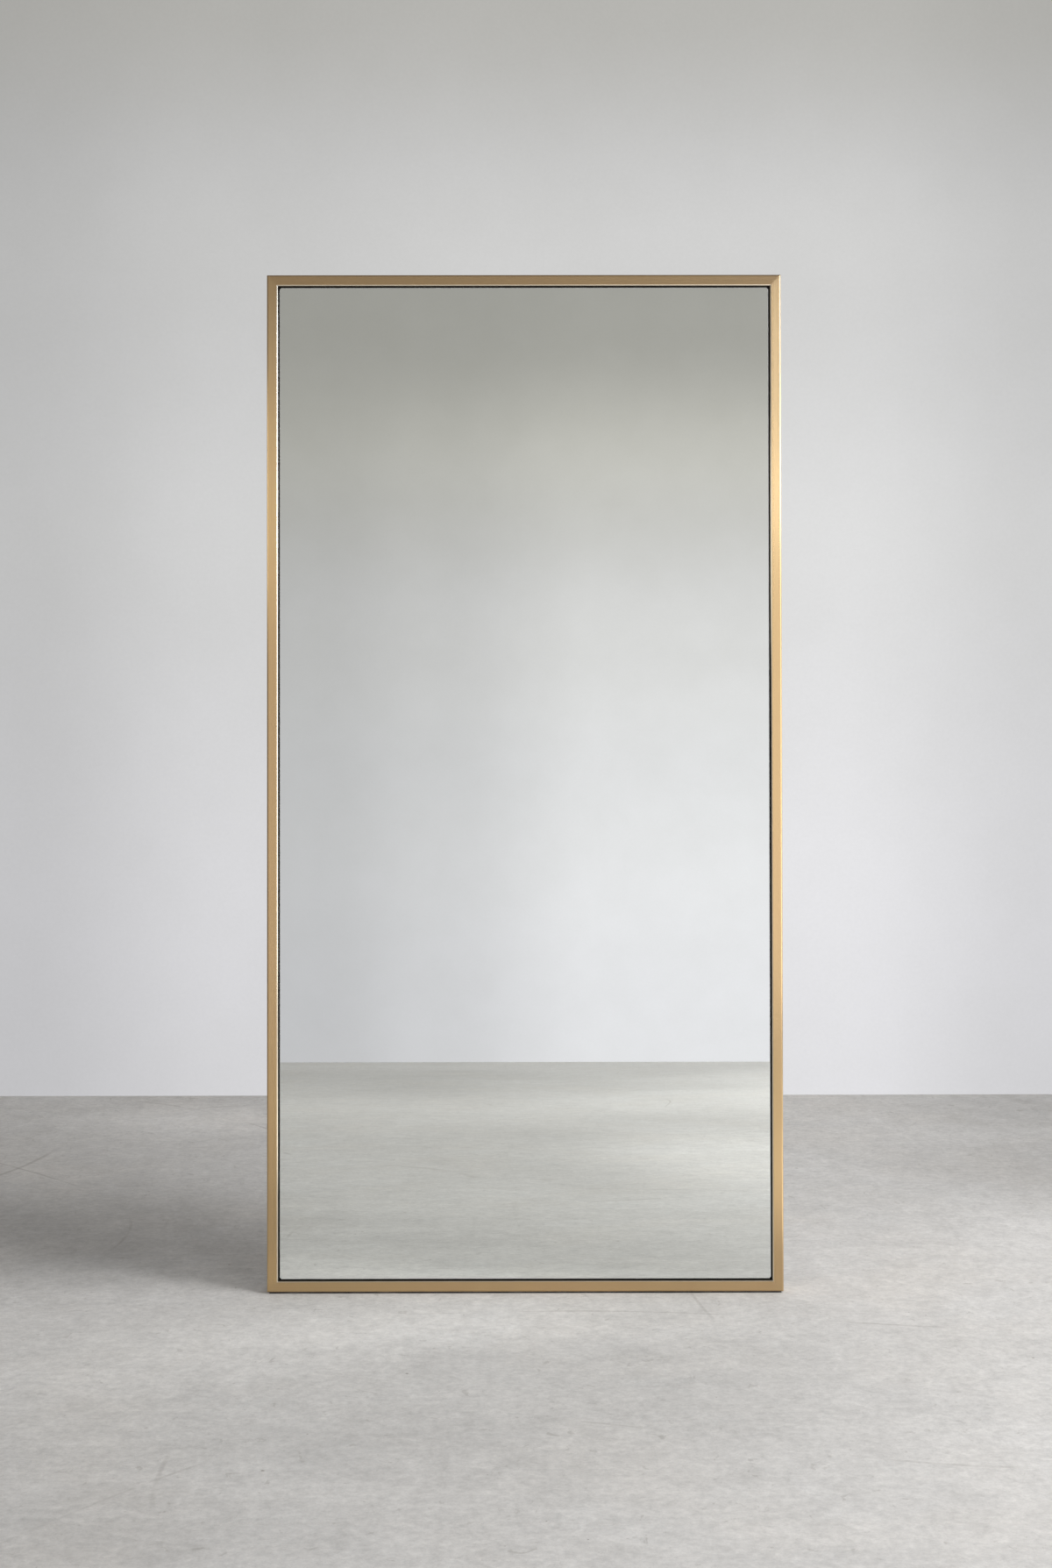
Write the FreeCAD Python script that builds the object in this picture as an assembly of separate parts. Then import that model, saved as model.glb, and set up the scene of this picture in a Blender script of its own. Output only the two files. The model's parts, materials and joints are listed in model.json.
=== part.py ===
import FreeCAD, Part
import math
import os
from FreeCAD import Placement, Rotation, Vector

# Standing mirror: four mitred extruded rails round a glass pane bonded to a black panel,
# propped from behind by a fold-out U-shaped tube stand. Lengths in millimetres, angles in degrees.
# Frame space: X across, Y back from the rails' front face, Z up from the bottom rail's lower face.
# The finished part stands on Z = 0, leaning back, with its origin in the middle of its footprint.

# Overall sizes
frame_width = 914.0
frame_height = 1803.0
lean_angle = 4.0
spread_angle = 11.5
floor_gap = 1.0

# Rail section, from the front face back
rail_face = 20.0
rail_wall = 1.8
edge_round = 3.0
sight_round = 3.2
small_round = 0.5
flange_depth = 9.0
spring_room = 3.0
fin_thick = 1.5
channel_width = 17.5
channel_room = 6.5
lip_thick = 1.8
slot_width = 7.4

# Glass, bond and panel
glass_thick = 4.0
glass_gap = 2.2
glass_arris = 1.0
glass_corner_cut = 3.0
tape_thick = 1.0
tape_width = 25.0
tape_margin = 60.0
tape_spacing = 190.0
panel_thick = 6.0
panel_clearance = 2.0

# Setting blocks round the panel's edge
block_length = 60.0
block_from_corner = 220.0

# Bowed spring clips between panel and rail fin
spring_length = 74.0
spring_width = 24.0
spring_thick = 0.6
spring_inset = 3.0
spring_from_corner = 150.0
side_spring_count = 5
end_spring_count = 3

# Corner keys and their set screws
key_length = 52.0
key_thick = 3.0
shim_thick = 1.5
key_side_clearance = 0.3
key_screw_radius = 2.0
key_screw_first = 26.0
key_screw_second = 43.0
key_screw_socket = 2.0

# Fixings that slide in the rail channel
nut_length = 16.0
nut_thick = 3.5
nut_side_clearance = 0.6
screw_radius = 2.5
screw_head_radius = 4.6
screw_head_height = 3.0
screw_socket = 3.0
screw_length = 11.0
plate_thick = 3.0
plate_edge = 2.0
plate_corner = 3.0
fit_clearance = 0.05
hole_clearance = 0.3
side_clearance = 0.2

# Stand tube and where it turns
hinge_height = 1350.0
leg_inset = 22.0
tube_radius = 11.0
tube_wall = 1.5
bend_radius = 70.0
heel_length = 24.0
stop_clearance = 0.3

# Hinge bracket
bracket_half_length = 58.0
bracket_screw_reach = 44.0
ear_thick = 3.0
ear_half_width = 14.0

# Pivot
bolt_radius = 4.0
bolt_head_radius = 8.0
bolt_head_height = 3.2
sleeve_wall = 2.0
washer_thick = 1.0
washer_radius = 8.5

# Clamp knob
knob_radius = 18.0
knob_height = 14.0
knob_hub_radius = 10.0
knob_hub_height = 4.0
knob_lobe_count = 6
scallop_radius = 6.0
scallop_depth = 2.6
knob_round = 1.5
insert_radius = 6.5
insert_length = 13.0
bolt_end_gap = 1.5
clamp_gap = 0.3

# Tube end cap
cap_head = 2.5
cap_plug = 14.0
cap_round = 1.0

# Foot sleeve on the stand's cross tube
foot_wall = 3.5
foot_length = 72.0
foot_from_bend = 30.0
foot_sole_width = 20.0
foot_round = 1.2

# Cradle that the folded stand rests in
cradle_height = 230.0
cradle_block_length = 24.0
cradle_wall = 3.0
cradle_grip = 4.5
cradle_clearance = 0.4
cradle_tail = 26.0
cradle_screw_reach = 14.0

# Rubber strip under the bottom rail
rubber_from_corner = 4.0
rubber_inset = 3.0
rubber_stock = 6.0

# Tether plates on the top rail
tether_from_middle = 260.0
tether_half_length = 27.0
tether_screw_reach = 17.0
tether_depth = 38.0
tether_hole_radius = 3.25
tether_hole_inset = 28.0

# One overrun serves every cut
overrun = 5.0

# Angles and counts of the round and six-sided forms
quarter_turn_angle = 90
hex_corner_count = 6

# Worked-out places, front to back
panel_front = flange_depth
panel_back = panel_front + panel_thick
glass_front = panel_front - tape_thick - glass_thick
fin_front = panel_back + spring_room
channel_front = fin_front + fin_thick
channel_back = channel_front + channel_room
rail_depth = channel_back + lip_thick
plate_back = rail_depth + plate_thick
channel_inner = channel_width - fin_thick
slot_centre = (rail_wall + channel_inner) / 2
half_width = frame_width / 2
half_height = frame_height / 2

# Worked-out places of the stand
leg_angle = spread_angle - lean_angle
lift = rail_depth * math.sin(math.radians(lean_angle)) + floor_gap
leg_x = half_width - leg_inset
foot_radius = tube_radius + foot_wall
ear_inner = tube_radius + washer_thick + side_clearance
ear_outer = ear_inner + ear_thick
sleeve_bore = bolt_radius + fit_clearance
sleeve_radius = sleeve_bore + sleeve_wall
cap_side_reach = (tube_radius - cap_round) * math.cos(math.radians(spread_angle))
cap_end_reach = (heel_length + cap_head - cap_round) * math.sin(math.radians(spread_angle))
pivot_depth = plate_back + cap_side_reach + cap_end_reach + cap_round + stop_clearance


def line_or_nothing(start, end):
    # A rounded corner can use up a whole side, which then has no straight part
    if (end - start).Length < small_round / 1000:
        return []
    return [Part.LineSegment(start, end).toShape()]


def rounded_face(corners, to_space):
    # Each corner is (a, b, radius); neighbouring sides are joined by a tangent arc of that radius
    points = [Vector(a, b, 0) for a, b, _ in corners]
    starts, middles, ends = [], [], []
    for i, (_, _, radius) in enumerate(corners):
        here = points[i]
        back = (points[i - 1] - here).normalize()
        ahead = (points[(i + 1) % len(points)] - here).normalize()
        if radius == 0:
            starts.append(here)
            middles.append(None)
            ends.append(here)
            continue
        half = back.getAngle(ahead) / 2
        reach = radius / math.tan(half)
        centre = here + (back + ahead).normalize() * (radius / math.sin(half))
        starts.append(here + back * reach)
        middles.append(centre + (here - centre).normalize() * radius)
        ends.append(here + ahead * reach)
    edges = []
    for i in range(len(points)):
        start, end = to_space(starts[i]), to_space(ends[i])
        if middles[i] is not None:
            edges.append(Part.Arc(start, to_space(middles[i]), end).toShape())
        edges += line_or_nothing(end, to_space(starts[(i + 1) % len(points)]))
    return Part.Face(Part.Wire(edges))


def bar_along_x(corners, start, end):
    # Corners are (y, z, radius)
    face = rounded_face(corners, lambda p: Vector(start, p.x, p.y))
    return face.extrude(Vector(end - start, 0, 0))


def slab_along_y(corners, front, back):
    # Corners are (x, z, radius)
    face = rounded_face(corners, lambda p: Vector(p.x, front, p.y))
    return face.extrude(Vector(0, back - front, 0))


def rectangle(low_a, high_a, low_b, high_b, radius=0):
    return [(low_a, low_b, radius), (high_a, low_b, radius), (high_a, high_b, radius), (low_a, high_b, radius)]


def hex_recess(across_flats, front, back, x, z):
    radius = across_flats / 2 / math.cos(math.pi / hex_corner_count)
    turns = [2 * math.pi * i / hex_corner_count for i in range(hex_corner_count)]
    corners = [(x + radius * math.cos(turn), z + radius * math.sin(turn), 0) for turn in turns]
    return slab_along_y(corners, front, back)


def block(x_range, y_range, z_range):
    size = [high - low for low, high in (x_range, y_range, z_range)]
    return Part.makeBox(*size, Vector(x_range[0], y_range[0], z_range[0]))


def rod_x(radius, start, end, y=0.0, z=0.0):
    return Part.makeCylinder(radius, end - start, Vector(start, y, z), Vector(1, 0, 0))


def rod_y(radius, front, back, x=0.0, z=0.0):
    return Part.makeCylinder(radius, back - front, Vector(x, front, z), Vector(0, 1, 0))


def rod_z(radius, low, high, x=0.0):
    return Part.makeCylinder(radius, high - low, Vector(x, 0, low), Vector(0, 0, 1))


def moved(shape, x=0.0, y=0.0, z=0.0):
    copy = shape.copy()
    copy.translate(Vector(x, y, z))
    return copy


def mirrored(shape):
    return shape.mirror(Vector(0, 0, 0), Vector(1, 0, 0))


def mirrored_pair(shape):
    return shape, mirrored(shape)


def on_side(shape, side):
    # Takes what was made on the bottom rail, with Z pointing into the frame, to one of the four sides
    turns = {"bottom": 0, "left": 90, "top": 180, "right": -90}
    shifts = {
        "bottom": Vector(0, 0, 0),
        "left": Vector(-half_width, 0, half_height),
        "top": Vector(0, 0, frame_height),
        "right": Vector(half_width, 0, half_height),
    }
    copy = shape.copy()
    copy.Placement = Placement(shifts[side], Rotation(Vector(0, 1, 0), turns[side]))
    return copy


def side_length(side):
    return frame_width if side in ("bottom", "top") else frame_height


# Rails
def rail_section():
    slot_low = slot_centre - slot_width / 2
    slot_high = slot_centre + slot_width / 2
    return [
        (0, 0, edge_round),
        (0, rail_face, sight_round),
        (flange_depth, rail_face, 0),
        (flange_depth, rail_wall, 0),
        (fin_front, rail_wall, 0),
        (fin_front, channel_width, 0),
        (rail_depth, channel_width, small_round),
        (rail_depth, slot_high, 0),
        (channel_back, slot_high, 0),
        (channel_back, channel_inner, 0),
        (channel_front, channel_inner, 0),
        (channel_front, rail_wall, 0),
        (channel_back, rail_wall, 0),
        (channel_back, slot_low, 0),
        (rail_depth, slot_low, 0),
        (rail_depth, 0, small_round),
    ]


def rail_hollow():
    inner_sight = rail_face - rail_wall
    return [
        (rail_wall, rail_wall, 0),
        (rail_wall, inner_sight, sight_round - rail_wall),
        (flange_depth - rail_wall, inner_sight, 0),
        (flange_depth - rail_wall, rail_wall, 0),
    ]


def mitred(shape, length):
    # Keeps what lies between the two 45 degree cuts at the ends of a rail of that length
    reach = max(rail_face, channel_width) + overrun
    outer, inner = length / 2, length / 2 - reach
    corners = [(-outer, 0, 0), (outer, 0, 0), (inner, reach, 0), (-inner, reach, 0)]
    return shape.common(slab_along_y(corners, -overrun, rail_depth + overrun))


def rail(side):
    length = side_length(side)
    bar = bar_along_x(rail_section(), -length / 2, length / 2)
    hollow = bar_along_x(rail_hollow(), -length / 2 - overrun, length / 2 + overrun)
    return on_side(mitred(bar.cut(hollow), length), side)


# Glass package
def mirror_glass():
    edge = rail_face + glass_gap
    low_x, high_x = edge - half_width, half_width - edge
    low_z, high_z = edge, frame_height - edge
    corners = []
    for x, z, inward_x, inward_z in (
        (low_x, low_z, 1, 1),
        (high_x, low_z, -1, 1),
        (high_x, high_z, -1, -1),
        (low_x, high_z, 1, -1),
    ):
        along_z = (x, z + inward_z * glass_corner_cut, 0)
        along_x = (x + inward_x * glass_corner_cut, z, 0)
        corners += [along_z, along_x] if inward_x * inward_z > 0 else [along_x, along_z]
    pane = slab_along_y(corners, glass_front, glass_front + glass_thick)
    front_edges = [e for e in pane.Edges if e.BoundBox.YMax < glass_front + glass_arris / 2]
    return pane.makeChamfer(glass_arris, front_edges)


def bond_tapes():
    low_z = rail_face + glass_gap + tape_margin
    high_z = frame_height - low_z
    reach = half_width - rail_face - glass_gap - tape_margin
    count = int(reach / tape_spacing)
    tapes = []
    for i in range(-count, count + 1):
        x = i * tape_spacing
        span = (x - tape_width / 2, x + tape_width / 2)
        tapes.append(block(span, (panel_front - tape_thick, panel_front), (low_z, high_z)))
    return tapes


def backing_panel():
    edge = rail_wall + panel_clearance
    corners = rectangle(edge - half_width, half_width - edge, edge, frame_height - edge)
    return slab_along_y(corners, panel_front, panel_back)


def setting_blocks():
    blocks = []
    for side in ("bottom", "left", "top", "right"):
        centre = side_length(side) / 2 - block_from_corner
        for x in (-centre, centre):
            span = (x - block_length / 2, x + block_length / 2)
            piece = block(span, (panel_front, panel_back), (rail_wall, rail_wall + panel_clearance))
            blocks.append(on_side(piece, side))
    return blocks


def spring_clip(x):
    # A bow whose ends press on the panel and whose crown presses on the rail's fin
    crown = fin_front - spring_thick
    half = spring_length / 2
    low = rail_wall + spring_inset
    front = Part.Arc(Vector(x - half, panel_back, low), Vector(x, crown, low), Vector(x + half, panel_back, low))
    back_ends = panel_back + spring_thick
    back = Part.Arc(Vector(x - half, back_ends, low), Vector(x, fin_front, low), Vector(x + half, back_ends, low))
    left = Part.LineSegment(front.StartPoint, back.StartPoint)
    right = Part.LineSegment(front.EndPoint, back.EndPoint)
    outline = Part.Wire([front.toShape(), right.toShape(), back.toShape(), left.toShape()])
    return Part.Face(outline).extrude(Vector(0, 0, spring_width))


def spring_clips():
    clips = []
    for side in ("bottom", "left", "top", "right"):
        count = end_spring_count if side in ("bottom", "top") else side_spring_count
        reach = side_length(side) / 2 - spring_from_corner
        for i in range(count):
            clips.append(on_side(spring_clip(reach * (2 * i / (count - 1) - 1)), side))
    return clips


# Corner keys
def key_screw_places():
    places = []
    for along in (key_screw_first, key_screw_second):
        places += [(along - half_width, slot_centre), (slot_centre - half_width, along)]
    return places


def corner_plate(front, back):
    # An L-shaped plate that lies in the channels of two rails, at the lower left corner
    low = rail_wall + key_side_clearance
    high = channel_inner - key_side_clearance
    x0, x1, x2 = (value - half_width for value in (low, high, key_length))
    corners = [
        (x0, low, small_round),
        (x2, low, small_round),
        (x2, high, small_round),
        (x1, high, 0),
        (x1, key_length, small_round),
        (x0, key_length, small_round),
    ]
    return slab_along_y(corners, front, back)


def corner_key():
    plate = corner_plate(channel_back - key_thick, channel_back)
    for x, z in key_screw_places():
        hole = rod_y(key_screw_radius + fit_clearance, channel_front, rail_depth, x, z)
        plate = plate.cut(hole)
    return plate


def set_screw(x, z):
    front = channel_front + shim_thick
    body = rod_y(key_screw_radius, front, channel_back, x, z)
    socket = hex_recess(key_screw_socket, channel_back - key_thick / 2, rail_depth, x, z)
    return body.cut(socket)


def four_corners(shape):
    # The lower left shape and its copies, named by corner
    upper = shape.mirror(Vector(0, 0, half_height), Vector(0, 0, 1))
    return {
        "bottom_left": shape,
        "bottom_right": mirrored(shape),
        "top_left": upper,
        "top_right": mirrored(upper),
    }


# Screws and nuts in the rail channel
def slot_nut(x, z, upright):
    half_long = nut_length / 2
    half_wide = (channel_inner - rail_wall) / 2 - nut_side_clearance
    half_x, half_z = (half_wide, half_long) if upright else (half_long, half_wide)
    corners = rectangle(x - half_x, x + half_x, z - half_z, z + half_z, small_round)
    nut = slab_along_y(corners, channel_back - nut_thick, channel_back)
    return nut.cut(rod_y(screw_radius + fit_clearance, channel_front, rail_depth, x, z))


def slot_screw(x, z):
    top = plate_back + screw_head_height
    head = rod_y(screw_head_radius, plate_back, top, x, z)
    rim = [e for e in head.Edges if e.BoundBox.YMin > plate_back + screw_head_height / 2]
    head = head.makeFillet(screw_head_height / 3, rim)
    shank = rod_y(screw_radius, plate_back - screw_length, plate_back, x, z)
    socket = hex_recess(screw_socket, plate_back + screw_head_height / 3, top + overrun, x, z)
    return head.fuse(shank).cut(socket).removeSplitter()


def screw_hole(x, z):
    return rod_y(screw_radius + hole_clearance, rail_depth - overrun, plate_back + overrun, x, z)


def left_slot_places():
    x = slot_centre - half_width
    heights = [hinge_height - bracket_screw_reach, hinge_height + bracket_screw_reach]
    heights.append(cradle_height - cradle_screw_reach)
    return [(x, z) for z in heights]


def top_slot_places():
    z = frame_height - slot_centre
    middle = -tether_from_middle
    return [(middle - tether_screw_reach, z), (middle + tether_screw_reach, z)]


def channel_fixings():
    nuts, screws = [], []
    for places, upright in ((left_slot_places(), True), (top_slot_places(), False)):
        for x, z in places:
            nuts += mirrored_pair(slot_nut(x, z, upright))
            screws += mirrored_pair(slot_screw(x, z))
    return nuts, screws


# Hinge bracket, in frame space on the left rail
def hinge_bracket():
    low_x = plate_edge - half_width
    high_x = ear_outer - leg_x
    low_z, high_z = hinge_height - bracket_half_length, hinge_height + bracket_half_length
    bracket = slab_along_y(rectangle(low_x, high_x, low_z, high_z, plate_corner), rail_depth, plate_back)
    for inner in (-ear_outer, ear_inner):
        x_range = (inner - leg_x, inner - leg_x + ear_thick)
        z_range = (hinge_height - ear_half_width, hinge_height + ear_half_width)
        web = block(x_range, (rail_depth, pivot_depth), z_range)
        bracket = bracket.fuse(web).fuse(rod_x(ear_half_width, *x_range, pivot_depth, hinge_height))
    bore = rod_x(bolt_radius + fit_clearance, -half_width, 0, pivot_depth, hinge_height)
    bracket = bracket.cut(bore)
    for x, z in left_slot_places()[:2]:
        bracket = bracket.cut(screw_hole(x, z))
    return bracket.removeSplitter()


def pivot_bolt():
    head = rod_x(bolt_head_radius, -leg_x - ear_outer - bolt_head_height, -leg_x - ear_outer)
    rim = [e for e in head.Edges if e.BoundBox.XMax < -leg_x - ear_outer - bolt_head_height / 2]
    head = head.makeFillet(bolt_head_height / 2, rim)
    end = ear_outer + clamp_gap + insert_length - bolt_end_gap - leg_x
    bolt = head.fuse(rod_x(bolt_radius, -leg_x - ear_outer, end)).removeSplitter()
    return moved(bolt, y=pivot_depth, z=hinge_height)


def clamp_knob():
    # Made on the pivot axis and moved to the left leg's inner ear
    face = ear_outer + clamp_gap - leg_x
    hub_end = face + knob_hub_height
    back = hub_end + knob_height
    grip = rod_x(knob_radius, hub_end, back)
    for i in range(knob_lobe_count):
        turn = 2 * math.pi * i / knob_lobe_count
        away = knob_radius + scallop_radius - scallop_depth
        y, z = away * math.cos(turn), away * math.sin(turn)
        grip = grip.cut(rod_x(scallop_radius, hub_end - overrun, back + overrun, y, z))
    rims = [e for e in grip.Edges if e.BoundBox.XLength < knob_height / 10]
    grip = grip.makeFillet(knob_round, rims)
    knob = grip.fuse(rod_x(knob_hub_radius, face, hub_end + knob_height / 2))
    pocket = rod_x(insert_radius, face - overrun, face + insert_length)
    return moved(knob.cut(pocket).removeSplitter(), y=pivot_depth, z=hinge_height)


def knob_insert():
    face = ear_outer + clamp_gap - leg_x
    body = rod_x(insert_radius, face, face + insert_length)
    bore = rod_x(bolt_radius + fit_clearance, face - overrun, face + insert_length - bolt_end_gap / 2)
    return moved(body.cut(bore), y=pivot_depth, z=hinge_height)


# Cradle on the left rail
def stand_cradle():
    low_z = cradle_height - cradle_tail
    high_z = cradle_height + cradle_block_length
    groove_radius = tube_radius + cradle_clearance
    half_block = groove_radius + cradle_wall
    low_x = plate_edge - half_width
    high_x = half_block - leg_x
    top = pivot_depth - cradle_grip
    base = slab_along_y(rectangle(low_x, high_x, low_z, high_z, plate_corner), rail_depth, plate_back)
    corners = [
        (-half_block - leg_x, plate_back - plate_thick / 2, 0),
        (half_block - leg_x, plate_back - plate_thick / 2, 0),
        (half_block - leg_x, top, cradle_wall / 2),
        (-half_block - leg_x, top, cradle_wall / 2),
    ]
    face = rounded_face(corners, lambda p: Vector(p.x, p.y, cradle_height))
    cradle = base.fuse(face.extrude(Vector(0, 0, cradle_block_length)))
    groove = rod_z(groove_radius, low_z - overrun, high_z + overrun, -leg_x)
    cradle = cradle.cut(moved(groove, y=pivot_depth))
    x, z = left_slot_places()[2]
    return cradle.cut(screw_hole(x, z)).removeSplitter()


# Tether plate on the top rail
def tether_plate():
    middle = -tether_from_middle
    low_z = frame_height - tether_depth
    high_z = frame_height - plate_edge
    corners = rectangle(middle - tether_half_length, middle + tether_half_length, low_z, high_z, plate_corner)
    plate = slab_along_y(corners, rail_depth, plate_back)
    for x, z in top_slot_places():
        plate = plate.cut(screw_hole(x, z))
    hole = rod_y(tether_hole_radius, rail_depth - overrun, plate_back + overrun, middle, frame_height - tether_hole_inset)
    return plate.cut(hole)


# Stand, made with its hinge axis on X and its legs hanging down
def bent_rod(radius, leg_length, top):
    # A solid U: two legs, two quarter bends and the cross tube
    bend_start = Vector(-leg_x, 0, bend_radius - leg_length)
    disc = Part.Face(Part.Wire(Part.makeCircle(radius, bend_start, Vector(0, 0, 1))))
    bend = disc.revolve(bend_start + Vector(bend_radius, 0, 0), Vector(0, -1, 0), quarter_turn_angle)
    half = rod_z(radius, bend_start.z, top, -leg_x).fuse(bend)
    cross = rod_x(radius, bend_radius - leg_x, leg_x - bend_radius, 0, -leg_length)
    return half.fuse(cross).fuse(mirrored(half)).removeSplitter()


def stand_tube(leg_length):
    bore = bent_rod(tube_radius - tube_wall, leg_length, heel_length + overrun)
    tube = bent_rod(tube_radius, leg_length, heel_length).cut(bore)
    for x in (-leg_x, leg_x):
        reach = tube_radius + overrun
        tube = tube.cut(rod_x(sleeve_radius + fit_clearance, x - reach, x + reach))
    return tube


def pivot_sleeve():
    span = (-leg_x - tube_radius, -leg_x + tube_radius)
    return rod_x(sleeve_radius, *span).cut(rod_x(sleeve_bore, span[0] - overrun, span[1] + overrun))


def saddle_washers():
    # Flat on the ear's side and hollowed to the tube on the other
    washers = []
    reach = tube_radius + washer_thick
    tube = rod_z(tube_radius + fit_clearance, -2 * washer_radius, 2 * washer_radius, -leg_x)
    for start, end in ((-reach, 0), (0, reach)):
        washer = rod_x(washer_radius, start - leg_x, end - leg_x)
        sleeve = rod_x(sleeve_radius + fit_clearance, -tube_radius - leg_x, tube_radius - leg_x)
        bore = rod_x(sleeve_bore, -reach - overrun - leg_x, reach + overrun - leg_x)
        washers.append(washer.cut(tube).cut(sleeve).cut(bore))
    return washers


def tube_cap():
    head = rod_z(tube_radius, heel_length, heel_length + cap_head, -leg_x)
    rim = [e for e in head.Edges if e.BoundBox.ZMin > heel_length + cap_head / 2]
    head = head.makeFillet(cap_round, rim)
    plug = rod_z(tube_radius - tube_wall - fit_clearance, heel_length - cap_plug, heel_length, -leg_x)
    return head.fuse(plug).removeSplitter()


def stand_foot():
    # Moulded round the cross tube, whose axis is foot_radius above the floor
    start = bend_radius + foot_from_bend - leg_x
    end = start + foot_length
    half_sole = foot_sole_width / 2
    body = rod_x(foot_radius, start, end, 0, foot_radius)
    sole = block((start, end), (-half_sole, half_sole), (0, foot_radius))
    foot = body.fuse(sole).removeSplitter()
    ends = [e for e in foot.Edges if e.BoundBox.XLength < foot_round]
    foot = foot.makeChamfer(foot_round, ends)
    return foot.cut(rod_x(tube_radius + fit_clearance, start - overrun, end + overrun, 0, foot_radius))


def rubber_strip(stand_up):
    # Stuck under the rail and cut level with the floor
    end = half_width - rubber_from_corner
    y_range = (rubber_inset, rail_depth - rubber_inset)
    strip = stand_up(block((-end, end), y_range, (-rubber_stock, 0)))
    reach = frame_width + rail_depth
    return strip.common(block((-reach, reach), (-reach, reach), (0, reach)))


# Standing the frame and the stand up
lean = Rotation(Vector(1, 0, 0), -lean_angle)
swing = Rotation(Vector(1, 0, 0), leg_angle)
pivot_in_frame = Vector(0, pivot_depth, hinge_height)
pivot_before_shift = lean.multVec(pivot_in_frame) + Vector(0, 0, lift)
leg_length = (pivot_before_shift.z - foot_radius) / math.cos(math.radians(leg_angle))
cross_back = pivot_before_shift.y + leg_length * math.sin(math.radians(leg_angle))
lean_rise = math.sin(math.radians(lean_angle)) + math.cos(math.radians(lean_angle)) - 1
front_y = edge_round * lean_rise
back_y = cross_back + foot_radius
middle_shift = Vector(0, -(front_y + back_y) / 2, 0)
pivot = pivot_before_shift + middle_shift
frame_place = Placement(Vector(0, 0, lift) + middle_shift, lean)
stand_place = Placement(pivot, swing)
foot_shift = Vector(0, cross_back, 0) + middle_shift


def placed(shape, place):
    copy = shape.copy()
    copy.Placement = place.multiply(copy.Placement)
    return copy


def in_frame(shape):
    return placed(shape, frame_place)


def in_stand(shape):
    return placed(shape, stand_place)


def frame_nodes():
    nodes = {"rail_" + side: [rail(side)] for side in ("left", "right", "top", "bottom")}
    nodes["mirror_glass"] = [mirror_glass()]
    nodes["bond_tapes"] = bond_tapes()
    nodes["backing_panel"] = [backing_panel()]
    nodes["setting_blocks"] = setting_blocks()
    nodes["spring_clips"] = spring_clips()
    for corner, plate in four_corners(corner_key()).items():
        nodes["corner_key_" + corner] = [plate]
    shim = corner_plate(channel_front, channel_front + shim_thick)
    for corner, plate in four_corners(shim).items():
        nodes["corner_shim_" + corner] = [plate]
    nodes["corner_set_screws"] = []
    for x, z in key_screw_places():
        nodes["corner_set_screws"] += four_corners(set_screw(x, z)).values()
    nodes["slot_nuts"], nodes["slot_screws"] = channel_fixings()
    makers = {
        "hinge_bracket": hinge_bracket,
        "pivot_bolt": pivot_bolt,
        "clamp_knob": clamp_knob,
        "knob_insert": knob_insert,
        "stand_cradle": stand_cradle,
        "tether_plate": tether_plate,
    }
    for name, make in makers.items():
        nodes[name + "_left"], nodes[name + "_right"] = ([shape] for shape in mirrored_pair(make()))
    return {name: [in_frame(shape) for shape in shapes] for name, shapes in nodes.items()}


def stand_nodes():
    nodes = {"stand_tube": [stand_tube(leg_length)]}
    for name, shape in (("pivot_sleeve", pivot_sleeve()), ("tube_cap", tube_cap())):
        nodes[name + "_left"], nodes[name + "_right"] = ([copy] for copy in mirrored_pair(shape))
    left_washers = saddle_washers()
    nodes["saddle_washers"] = left_washers + [mirrored(washer) for washer in left_washers]
    return {name: [in_stand(shape) for shape in shapes] for name, shapes in nodes.items()}


def floor_nodes():
    foot = moved(stand_foot(), foot_shift.x, foot_shift.y, foot_shift.z)
    return {
        "stand_foot_left": [foot],
        "stand_foot_right": [mirrored(foot)],
        "rubber_strip": [rubber_strip(in_frame)],
    }


def write_parts():
    os.makedirs("parts", exist_ok=True)
    for name, shapes in {**frame_nodes(), **stand_nodes(), **floor_nodes()}.items():
        whole = shapes[0] if len(shapes) == 1 else Part.makeCompound(shapes)
        whole.exportStep("parts/" + name + ".step")


write_parts()
tether_place = frame_place.multVec(Vector(-tether_from_middle, plate_back - plate_thick / 2, frame_height - tether_hole_inset))
print("rail depth", round(rail_depth, 3), "leg length", round(leg_length, 3))
print("pivot", [round(value, 4) for value in pivot])
print("tether hole", [round(value, 4) for value in tether_place])
print("tether axis", [round(value, 6) for value in lean.multVec(Vector(0, 1, 0))])
print("front and back", [round(front_y + middle_shift.y, 4), round(back_y + middle_shift.y, 4)])
print("frame bottom front", [round(value, 4) for value in frame_place.multVec(Vector(0, 0, 0))])
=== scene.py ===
import json
import math

import bmesh
import bpy
from mathutils import Matrix, Vector


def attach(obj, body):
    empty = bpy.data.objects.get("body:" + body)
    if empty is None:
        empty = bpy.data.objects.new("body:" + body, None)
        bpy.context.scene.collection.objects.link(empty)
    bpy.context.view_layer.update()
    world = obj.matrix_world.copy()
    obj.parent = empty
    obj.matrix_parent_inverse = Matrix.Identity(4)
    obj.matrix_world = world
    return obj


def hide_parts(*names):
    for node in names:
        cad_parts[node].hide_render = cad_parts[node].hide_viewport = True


# A standing mirror: finishes for the nodes of its CAD model, its knobs and sleeves as meshes, and a room

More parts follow.
